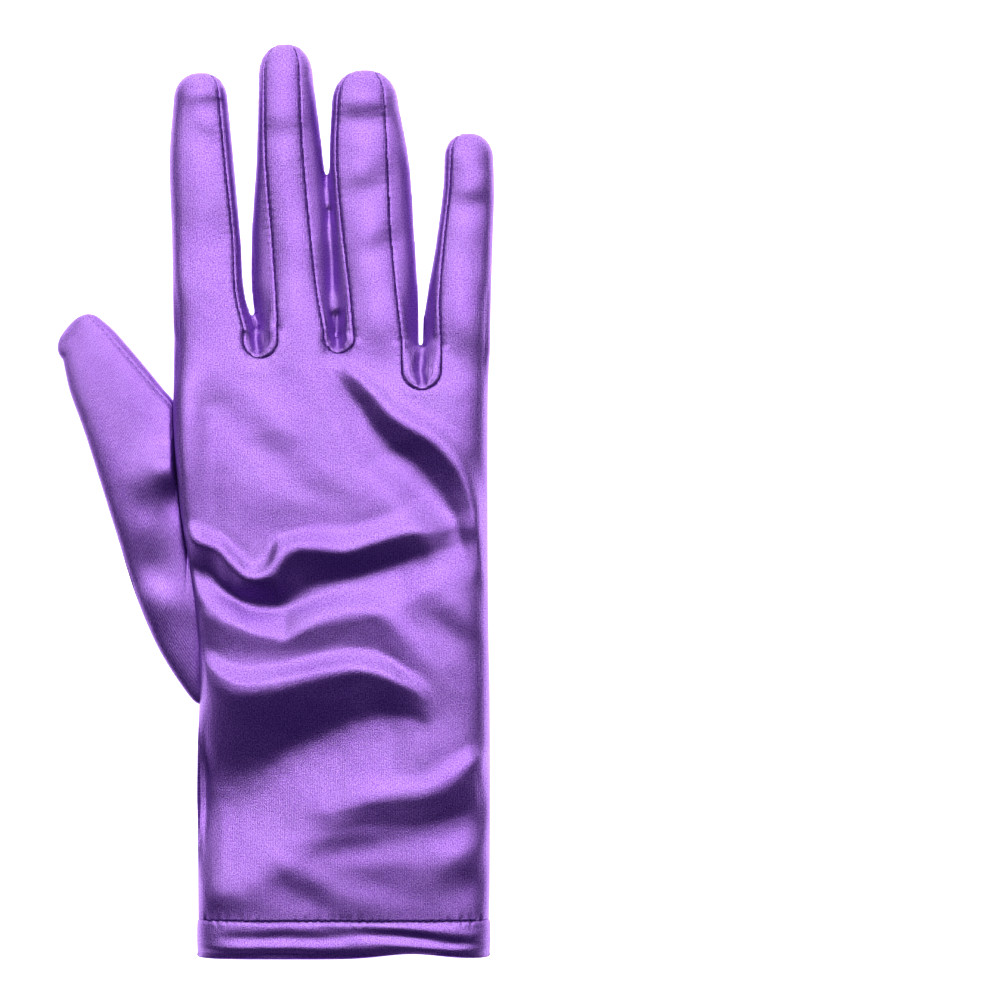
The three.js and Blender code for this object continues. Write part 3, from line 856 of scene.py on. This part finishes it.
satin = {
    "bright": (0.475, 0.305, 0.66, 1),
    "deep": (0.27, 0.112, 0.475, 1),
    "tone": 0.55,  # from deep to bright
    "wale": 0.58,  # from one to the next
    "speckleScale": 2.7,
    "cloudScale": 0.08,
    "toneBy": {"speckle": 6, "cloud": 0.5, "wale": 0.06},
    "heightBy": {"speckle": 3.2, "wale": 0.22},
    "roughBy": {"speckle": 0.3},
    "bump": 0.35,
    "bumpDistance": 0.0001,
    "metallic": 0.88,
    "roughness": 0.36,
    "sheen": 0.05,
    "sheenRoughness": 0.4,
    "sheenTint": (0.75, 0.6, 1, 1),
}


def satinCloth(name, settings):
    finish = Finish(name)
    place = finish.node("UVMap", {"uv_map": "cloth"})[0]
    across = finish.node("SeparateXYZ", {}, {0: place})[0]
    wale = (across * (2 * math.pi / settings["wale"])).maths("SINE")
    speckle = finish.node("TexNoise", {}, {
        "Vector": place, "Scale": settings["speckleScale"], "Detail": 3, "Roughness": 0.8,
    })[0] - 0.5
    cloud = finish.node("TexNoise", {}, {
        "Vector": place, "Scale": settings["cloudScale"], "Detail": 3, "Roughness": 0.5,
    })[0] - 0.5
    byTone, byHeight = settings["toneBy"], settings["heightBy"]
    normal = finish.node("Bump", {}, {
        "Strength": settings["bump"], "Distance": settings["bumpDistance"],
        "Height": wale * byHeight["wale"] + speckle * byHeight["speckle"],
    })[0]
    tone = (settings["tone"] + speckle * byTone["speckle"] + cloud * byTone["cloud"]
            + wale * byTone["wale"])
    colour = finish.node("Mix", {"data_type": "RGBA"}, {
        0: tone, 6: settings["deep"], 7: settings["bright"],
    })[2]
    surface = finish.node("BsdfPrincipled", {}, {
        "Base Color": colour,
        "Roughness": settings["roughness"] + speckle * settings["roughBy"]["speckle"],
        "Normal": normal,
        "Metallic": settings["metallic"],
        "Specular IOR Level": 0.5,
        "Sheen Weight": settings["sheen"],
        "Sheen Roughness": settings["sheenRoughness"],
        "Sheen Tint": settings["sheenTint"],
    })[0]
    finish.node("OutputMaterial", {}, {"Surface": surface})
    return finish.material


thread = {
    "colour": (0.10, 0.03, 0.24, 1),
    "shade": (0.06, 0.018, 0.144, 1),
    "twistScale": 2400,
    "roughness": 0.6,
    "bump": 0.4,
    "bumpDistance": 0.00005,
}


def threadFinish(name, settings):
    finish = Finish(name)
    place = finish.node("TexCoord")[3]
    twist = finish.node("TexNoise", {}, {
        "Vector": place, "Scale": settings["twistScale"], "Detail": 2,
    })[0]
    tint = finish.node("Mix", {"data_type": "RGBA"}, {
        0: twist, 6: settings["shade"], 7: settings["colour"],
    })[2]
    normal = finish.node("Bump", {}, {
        "Strength": settings["bump"], "Distance": settings["bumpDistance"], "Height": twist,
    })[0]
    surface = finish.node("BsdfPrincipled", {}, {
        "Base Color": tint, "Roughness": settings["roughness"], "Normal": normal,
    })[0]
    finish.node("OutputMaterial", {}, {"Surface": surface})
    return finish.material


satinMaterial = satinCloth("satin", satin)
threadMaterial = threadFinish("thread", thread)

# where those lengths start in the frame, in metres
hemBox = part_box("cuff_hem")
cuffMiddle = (hand["sections"][0][1] + hand["sections"][0][2]) / 2 * hand["width"]
shift = Vector(((hemBox[0].x + hemBox[1].x) / 2 - cuffMiddle / 1000, hemBox[0].y, 0))


def finished(name, piece, nodes, material):
    piece.name = name
    piece.data.name = name
    piece.data.transform(Matrix.Translation(shift) @ Matrix.Scale(0.001, 4))
    piece.data.materials.clear()
    piece.data.materials.append(material)
    for polygon in piece.data.polygons:
        polygon.use_smooth = True
    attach(piece, "root")
    if nodes:
        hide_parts(*nodes)
    return piece


def thicken(piece, thickness):
    wall = piece.modifiers.new("cloth", "SOLIDIFY")
    wall.thickness, wall.offset = thickness, -1
    wall.use_even_offset, wall.use_rim = False, True
    return workIn(piece)


# A mesh's faces, with its vertices at co, for rays from above
def treeOf(mesh, co):
    return BVHTree.FromPolygons([Vector(p) for p in co], [tuple(p.vertices) for p in mesh.polygons])


thumbHole = {"halfLength": 27, "height": 3.9, "halfHeight": 1.9, "reach": 3}
middles = faceMiddles(skin)
inSlot = [
    isInside(line, middles[:, 0], middles[:, 1]) & (middles[:, 2] > fingerShape["sideSeam"])
    for line in slotLines
]
alongHole = (middles[:, 1] - thumbRoot[1]) / thumbHole["halfLength"]
upHole = (middles[:, 2] - thumbHole["height"]) / thumbHole["halfHeight"]
inHole = (alongHole**2 + upHole**2 < 1) & (middles[:, 0] < thumbRoot[0] + thumbHole["reach"])
surfaceTree = treeOf(skin, coordinates(skin))

# the edge below the hem's stitches comes off, in a clean cut
work = bmesh.new()
work.from_mesh(kept("trank", skin, ~np.any(inSlot, axis=0) & ~inHole))
bmesh.ops.bisect_plane(
    work, geom=[*work.verts, *work.edges, *work.faces], plane_co=(0, cloth["hem"] - 0.15, 0),
    plane_no=(0, 1, 0), clear_inner=True,
)
trank = newObject("trank", meshOf(work, "trank"))

# faces under the hand are thinned out
isUnder = (normals(trank.data)[:, 2] < -0.6) & (coordinates(trank.data)[:, 2] < 3)
under = trank.vertex_groups.new(name="under")
under.add([int(i) for i in np.nonzero(isUnder)[0]], 1, "REPLACE")
thin = trank.modifiers.new("thin out", "DECIMATE")
thin.ratio, thin.vertex_group = 1 - cloth["underThinning"] * isUnder.mean(), "under"
workIn(trank)
unroll(trank.data)
thicken(trank, cloth["thickness"])
print("trank has", len(trank.data.polygons), "faces")
finished("trank_cloth", trank, ["trank"], satinMaterial)

for (a, b), inside, line in zip(pairs, inSlot, slotLines):
    name = f"side_strip_{a['name']}_{b['name']}"
    strip = newObject(name, kept(name, skin, inside))
    unrollStrip(strip.data, line)
    thicken(strip, cloth["thickness"])
    finished(name + "_cloth", strip, [name], satinMaterial)
bpy.data.objects.remove(body)


# Thumb
def thumbPoints():
    table = np.array(thumbShape["sections"])
    share = np.linspace(0, 1, thumbShape["rows"])
    rows = curveThrough(np.linspace(0, 1, len(table)), table)(share)
    size = thumbShape["length"]
    angles = np.linspace(0, 2 * np.pi, thumbShape["across"])
    c, s = np.cos(angles), np.sin(angles)
    rounding = np.where(s < 0, thumbShape["soleSquareness"], thumbShape["backSquareness"])
    grid = []

    def addRow(row, scale, ahead):
        outer = thumbRoot + row[0:2] * size
        inner = thumbRoot + row[2:4] * size
        along = (inner - outer) / np.linalg.norm(inner - outer)
        half = np.linalg.norm(inner - outer) / 2
        height = thumbShape["height"] * row[4]
        across = half * np.sign(c) * np.abs(c) ** thumbShape["sideSquareness"] * scale
        up = height / 2 * np.sign(s) * np.abs(s) ** rounding * scale
        flat = (outer + inner) / 2 + ahead + across[:, None] * along
        grid.append(np.column_stack([flat, row[5] * thumbShape["height"] + height / 2 + up]))

    for row in rows:
        addRow(row, 1, 0)
    last = rows[-1]
    across = last[2:4] - last[0:2]
    forward = np.array([-across[1], across[0]]) / np.linalg.norm(across)
    for degrees in np.linspace(5, 90, thumbShape["tipRows"]):
        angle = math.radians(degrees)
        scale = max(math.cos(angle), 0) ** thumbShape["tipRounding"]
        addRow(last, scale, forward * thumbShape["tip"] * math.sin(angle))
    return np.array(grid)


thumbFolds = [  # as the hand's slopes
    (-40.5, 119, 5.5, 4.5, 2.1, 14),
    (-43.5, 108, 4.5, 7, 1.3, -20),
    (-50, 97, 3.5, 6, 0.7, -30),
    (-37.5, 92, 3, 10, -0.7, 55),
    (-45, 86, 4, 6, 0.5, -35),
]
thumbSeam = np.array([
    (-61.8, 162.2), (-58, 158.6), (-52.5, 152.5), (-47.2, 146.4), (-42.3, 141), (-37, 135),
])
underHand = {
    "clearance": 0.35,
    "edge": (-0.2, 1.2),  # the ceiling comes down over this much, inwards from the hand's edge
    "from": -0.6,
    "seated": 2.6,  # the last of the thumb, inside the hand, is left as it is
    "thinnest": 0.3,
}
thumb = newObject("thumb", sheetMesh("thumb", thumbPoints()))
co, facing = coordinates(thumb.data), normals(thumb.data)
facingUp = smooth(facing[:, 2], 0.05, 0.5)
co[:, 2] += slopesAt(thumbFolds, co[:, 0], co[:, 1]) * facingUp
gap = nearest(thumbSeam, co[:, 0], co[:, 1])[0]
co[:, 2] -= cloth["grooveDepth"] * bell(gap, cloth["grooveWidth"]) * facingUp
co += facing * (grain["depth"] * noiseAt(co, grain["size"], grain["thumbSeed"]))[:, None]

# under the hand's edge it is pressed flat
depth = co[:, 0] - palmLeft(co[:, 1] / hand["length"]) * hand["width"]
edge = hand["edgeHeight"] * (1 - smooth(depth, *underHand["edge"]))
ceiling = liftAt(co[:, 0], co[:, 1]) + edge - underHand["clearance"]
overlaps = (depth > underHand["from"]) & (co[:, 0] < thumbRoot[0] - underHand["seated"])
pressed = np.minimum(co[:, 2], np.maximum(ceiling, underHand["thinnest"]))
co[:, 2] = np.maximum(np.where(overlaps, pressed, co[:, 2]), 0)
setCoordinates(thumb.data, relaxed(thumb.data, co, 1))
thumbTree = treeOf(thumb.data, co)
thicken(thumb, cloth["thickness"])
finished("thumb_cloth", thumb, ["thumb"], satinMaterial)
print("thumb is sewn in")


hemShape = {
    "across": 421,
    "thickness": 1.1,
    "bulge": 0.25,
    "edgeRadius": 0.55,
    "edgeMiddle": 0.28,
    "seam": [(0, 0.45), (-0.35, 0.22)],  # along from the stitches, and in
    "waveHeight": 1.4,  # of the mouth's edge, on the back of the hand
    "waveAt": 20.8,
    "waveWidth": 10.4,
    "ease": 0.2,
    "easeSize": 2.6,
    "easeSeed": 5.5,
    "edgeDrop": 0.7,
}


# Cuff hem: from the stitches down to the mouth, round its edge and up inside
def hemPoints():
    turns, hemLength = np.linspace(0, 1, hemShape["across"]), cloth["hem"]
    middle, radius = hemShape["edgeMiddle"], hemShape["edgeRadius"]
    profile = [(hemLength + along, inset) for along, inset in hemShape["seam"]]
    profile += [
        (y, -hemShape["bulge"] * math.sin(math.pi * (hemLength - y) / hemLength) ** 0.7)
        for y in np.linspace(hemLength - 1, 1, 14)
    ]
    profile += [
        (radius * (1 - math.sin(a)), middle - radius * math.cos(a))
        for a in np.radians(np.linspace(15, 165, 9))
    ]
    profile += [(y, hemShape["thickness"]) for y in np.linspace(1.2, hemLength + 0.6, 8)]
    profile += [profile[0]]
    onBack = (turns > 0.5) * np.sin(np.pi * np.clip((turns - 0.5) * 2, 0, 1)) ** 0.3
    rows = []
    for y, inset in profile:
        ring = handRing(turns, np.full_like(turns, y), inset)
        wave = hemShape["waveHeight"] * bell(ring[:, 0] - hemShape["waveAt"], hemShape["waveWidth"])
        ring[:, 1] += wave * (1 - smooth(y, 0, 8)) * onBack
        rows.append(ring)
    return np.array(rows)


hemFolds = [  # as the hand's slopes
    (-20, 4.4, 12, 1.3, -0.28, 0),
    (-2, 4.3, 10, 1.3, -0.28, 2),
    (-10, 6.6, 9, 1.2, 0.12, 0),
    (14, 4.8, 5, 1.1, -0.3, -4),
    (27, 3.6, 8, 1.1, -0.35, -8),
    (20, 6.4, 8, 1.3, 0.4, -5),
    (33, 5, 5, 1.3, 0.2, 0),
]
hem = newObject("hem", sheetMesh("hem", hemPoints()))
co, facing = coordinates(hem.data), normals(hem.data)
onBack = smooth(facing[:, 2], 0.1, 0.5)
belowSeam = smooth(cloth["hem"] - co[:, 1], 0.3, 2)
co[:, 2] += onBack * slopesAt(hemFolds, co[:, 0], co[:, 1]) * belowSeam
ease = noiseAt(co * [0.35, 1, 0], hemShape["easeSize"], hemShape["easeSeed"])
co[:, 2] += onBack * hemShape["ease"] * ease * belowSeam
co[:, 2] += onBack * (nipsAt(co) - hemShape["edgeDrop"] * (1 - smooth(co[:, 1], 0.4, 2.9)))
co[:, 2] = np.maximum(co[:, 2], 0)
setCoordinates(hem.data, co)
hemTree = treeOf(hem.data, co)
finished("cuff_hem_cloth", hem, ["cuff_hem"], satinMaterial)
print("hem is turned in")


hemStitch = {"pitch": 1.9, "length": 1.6, "width": 0.5, "sink": 0}
seamStitch = {"pitch": 1.6, "length": 1.1, "width": 0.2, "sink": 0.05}


# Stitches: short threads laid along lines on the cloth
def stitches(name, lines, settings, trees):
    length, width = settings["length"], settings["width"]
    work = bmesh.new()
    for line in lines:
        steps = distances(line)
        for place in np.arange(settings["pitch"] / 2, steps[-1], settings["pitch"]):
            spot = np.array([np.interp(place, steps, line[:, k]) for k in (0, 1)])
            ahead = np.array([np.interp(place + 0.3, steps, line[:, k]) for k in (0, 1)])
            hits = [tree.ray_cast(Vector((*spot, 40)), Vector((0, 0, -1))) for tree in trees]
            hits = [hit for hit in hits if hit[0] is not None]
            if not hits:
                continue
            point, normal = max(hits, key=lambda hit: hit[0].z)[:2]
            if normal.z < 0.15:
                continue
            direction = Vector((*(ahead - spot), 0))
            direction = (direction - normal * direction.dot(normal)).normalized()
            side = normal.cross(direction)
            turn = Matrix((direction, side, normal)).transposed().to_4x4()
            size = Matrix.Diagonal((length / 2, width / 2, width / 2, 1))
            move = Matrix.Translation(point - normal * settings["sink"]) @ turn @ size
            bmesh.ops.create_uvsphere(work, u_segments=8, v_segments=6, radius=1, matrix=move)
    return finished(name, newObject(name, meshOf(work, name)), [], threadMaterial)


hemLine = handRing(np.linspace(0.53, 0.97, 200), np.full(200, cloth["hem"] - 0.05))[::-1, :2]
hemLine[:, 1] += 0.12 * np.sin(hemLine[:, 0] / 2.3)
stitches("hem_stitches", [hemLine], hemStitch, [surfaceTree, hemTree])
stitches("finger_stitches", slotLines, seamStitch, [surfaceTree])
stitches("thumb_stitches", [thumbSeam], seamStitch, [thumbTree])
print("stitches are in")

# Stage, from here on in metres: white paper that glows enough to stay white
ground = {"size": 6, "gap": 0.0003, "white": (0.93, 0.93, 0.93, 1), "roughness": 0.9, "glow": 0.8}
work = bmesh.new()
bmesh.ops.create_grid(work, x_segments=1, y_segments=1, size=ground["size"])
bmesh.ops.translate(work, verts=work.verts, vec=(0, 0, -ground["gap"]))
floor = newObject("floor", meshOf(work, "floor"))
paper = Finish("paper")
shade = paper.node("BsdfPrincipled", {}, {
    "Base Color": ground["white"], "Roughness": ground["roughness"],
    "Emission Color": (1, 1, 1, 1), "Emission Strength": ground["glow"],
})[0]
paper.node("OutputMaterial", {}, {"Surface": shade})
floor.data.materials.append(paper.material)

studio = {
    "world": 0.07,
    "worldColour": (0.3, 0.06, 1, 1),
    "key": {"place": (0.0, 1.6, 0.75), "size": (3.0, 0.8), "power": 16},
    "top": {"place": (0.0, 0.5, 1.6), "size": (3.0, 0.9), "power": 21},
    "lens": 120,
    "sensor": 36,
    "pixel": 0.2527,  # millimetres
    "frameWidth": 1001,  # pixels
    "originPixel": (275.8, 500.5),
    "trueHeight": 0.005,  # where a pixel is that wide
}


def softBox(name, settings, target):
    light = bpy.data.lights.new(name, "AREA")
    light.shape = "RECTANGLE"
    light.size, light.size_y = settings["size"]
    light.energy = settings["power"]
    lamp = newObject(name, light)
    lamp.location = settings["place"]
    away = Vector(settings["place"]) - Vector(target)
    lamp.rotation_mode = "QUATERNION"
    lamp.rotation_quaternion = away.to_track_quat("Z", "Y")


softBox("key", studio["key"], (0, 0, 0))
softBox("top", studio["top"], (0, 0, 0))
world = bpy.data.worlds.new("studio")
world.use_nodes = True
world.node_tree.nodes["Background"].inputs[0].default_value = studio["worldColour"]
world.node_tree.nodes["Background"].inputs[1].default_value = studio["world"]
bpy.context.scene.world = world

viewWidth = studio["frameWidth"] * studio["pixel"] / 1000
camera = bpy.data.cameras.new("camera")
camera.lens, camera.sensor_width = studio["lens"], studio["sensor"]
camera.clip_start, camera.clip_end = 0.01, 20
cameraObject = newObject("camera", camera)
centre = studio["frameWidth"] / 2
cameraObject.location = (
    (centre - studio["originPixel"][0]) * studio["pixel"] / 1000,
    (studio["originPixel"][1] - centre) * studio["pixel"] / 1000,
    studio["trueHeight"] + viewWidth * studio["lens"] / studio["sensor"],
)
bpy.context.scene.camera = cameraObject
bpy.context.scene.view_settings.view_transform = "Standard"
bpy.context.scene.view_settings.look = "High Contrast"
